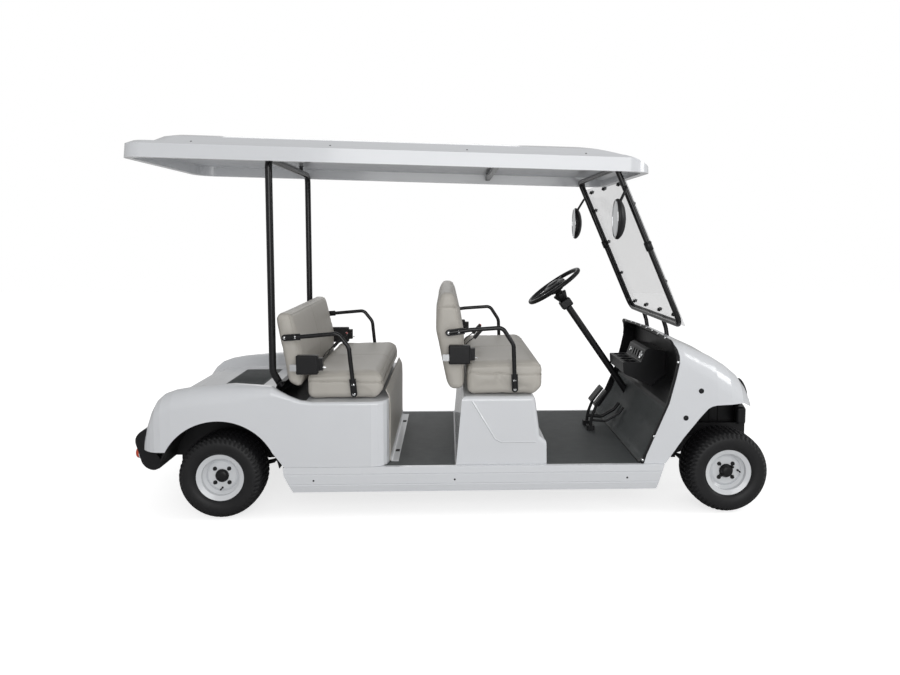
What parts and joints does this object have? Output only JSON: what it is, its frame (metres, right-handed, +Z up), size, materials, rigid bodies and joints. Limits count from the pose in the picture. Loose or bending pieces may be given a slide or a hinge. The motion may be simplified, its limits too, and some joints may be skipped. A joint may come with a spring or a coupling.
{
  "type": "golf cart",
  "caption": "Open electric golf cart with two bench seats facing forward, moulded white body, hard roof on posts, windscreen, steered front wheels and side rails.",
  "frame": {"origin": "on the ground under the middle of the length, on the centre line", "axes": "+X forward, +Y to the left, +Z up"},
  "size_m": [3.3329, 1.3102, 1.9512],
  "materials": {
    "body": "glossy white moulding",
    "rim": "gloss white enamel",
    "tyre": "matt black rubber",
    "black_steel": "satin black",
    "black_tube": "gloss black powder coat",
    "black_plastic": "grained black",
    "floor": "mill finish",
    "mat": "ribbed dark grey",
    "battery": "plain black cases",
    "vinyl": "grained beige vinyl",
    "clear": "clear sheet",
    "lamp_red": "red orange lens",
    "lamp_clear": "clear lens"
  },
  "bodies": {
    "root": {"rear_body": "body", "front_cowl": "body", "seat_pedestal": "body", "roof": "body", "side_sills": "body", "chassis_rails": "black_steel", "cross_members": "black_steel", "front_axle": "black_steel", "rear_axle": "black_steel", "leaf_springs": "black_steel", "steering_column": "black_steel", "pedals": "black_steel", "drive_motor": "black_steel", "roof_posts": "black_tube", "windscreen_frame": "black_tube", "armrests_front": "black_tube", "armrests_rear": "black_tube", "dash_liner": "black_plastic", "wheel_liners": "black_plastic", "console": "black_plastic", "belt_reels": "black_plastic", "rear_bumper": "black_plastic", "front_bumper": "black_plastic", "mirrors": "black_plastic", "floor_deck": "floor", "floor_mats": "mat", "battery_pack": "battery", "front_seat_cushion": "vinyl", "front_seat_back": "vinyl", "rear_seat_cushion": "vinyl", "rear_seat_back": "vinyl", "rear_kick_panel": "vinyl", "windscreen": "clear", "tail_lamps": "lamp_red", "headlamps": "lamp_clear"},
    "knuckle_left": {"knuckle_left": "black_steel"},
    "knuckle_right": {"knuckle_right": "black_steel"},
    "tie_rod": {"tie_rod": "black_steel"},
    "steering_wheel": {"steering_wheel": "black_plastic"},
    "wheel_front_left": {"tyre_front_left": "tyre", "rim_front_left": "rim", "hub_front_left": "black_steel"},
    "wheel_front_right": {"tyre_front_right": "tyre", "rim_front_right": "rim", "hub_front_right": "black_steel"},
    "wheel_rear_left": {"tyre_rear_left": "tyre", "rim_rear_left": "rim", "hub_rear_left": "black_steel"},
    "wheel_rear_right": {"tyre_rear_right": "tyre", "rim_rear_right": "rim", "hub_rear_right": "black_steel"}
  },
  "joints": [
    {"name": "steer_left", "type": "hinge", "parent": "root", "child": "knuckle_left", "pos_m": [1.4265, 0.43, 0.216], "axis": [0, 0, 1], "range_deg": [-30, 30]},
    {"name": "steer_right", "type": "hinge", "parent": "root", "child": "knuckle_right", "pos_m": [1.4265, -0.43, 0.216], "axis": [0, 0, 1], "range_deg": [-30, 30]},
    {"name": "tie_rod_swing", "type": "hinge", "parent": "knuckle_left", "child": "tie_rod", "pos_m": [1.3215, 0.37, 0.188], "axis": [0, 0, 1], "range_deg": [-35, 35]},
    {"name": "steering_wheel_turn", "type": "hinge", "parent": "root", "child": "steering_wheel", "pos_m": [0.6265, 0.27, 1.134], "axis": [-0.5736, 0, 0.8192], "range_deg": [-360, 360]},
    {"name": "spin_front_left", "type": "hinge", "parent": "knuckle_left", "child": "wheel_front_left", "pos_m": [1.4265, 0.492, 0.216], "axis": [0, 1, 0], "continuous": true},
    {"name": "spin_front_right", "type": "hinge", "parent": "knuckle_right", "child": "wheel_front_right", "pos_m": [1.4265, -0.492, 0.216], "axis": [0, 1, 0], "continuous": true},
    {"name": "spin_rear_left", "type": "hinge", "parent": "root", "child": "wheel_rear_left", "pos_m": [-1.1935, 0.492, 0.216], "axis": [0, 1, 0], "continuous": true},
    {"name": "spin_rear_right", "type": "hinge", "parent": "root", "child": "wheel_rear_right", "pos_m": [-1.1935, -0.492, 0.216], "axis": [0, 1, 0], "continuous": true}
  ],
  "couplings": [
    {"joint": "steer_right", "follows": "steer_left", "ratio": 1},
    {"joint": "tie_rod_swing", "follows": "steer_left", "ratio": -1.15},
    {"joint": "steering_wheel_turn", "follows": "steer_left", "ratio": 12}
  ]
}
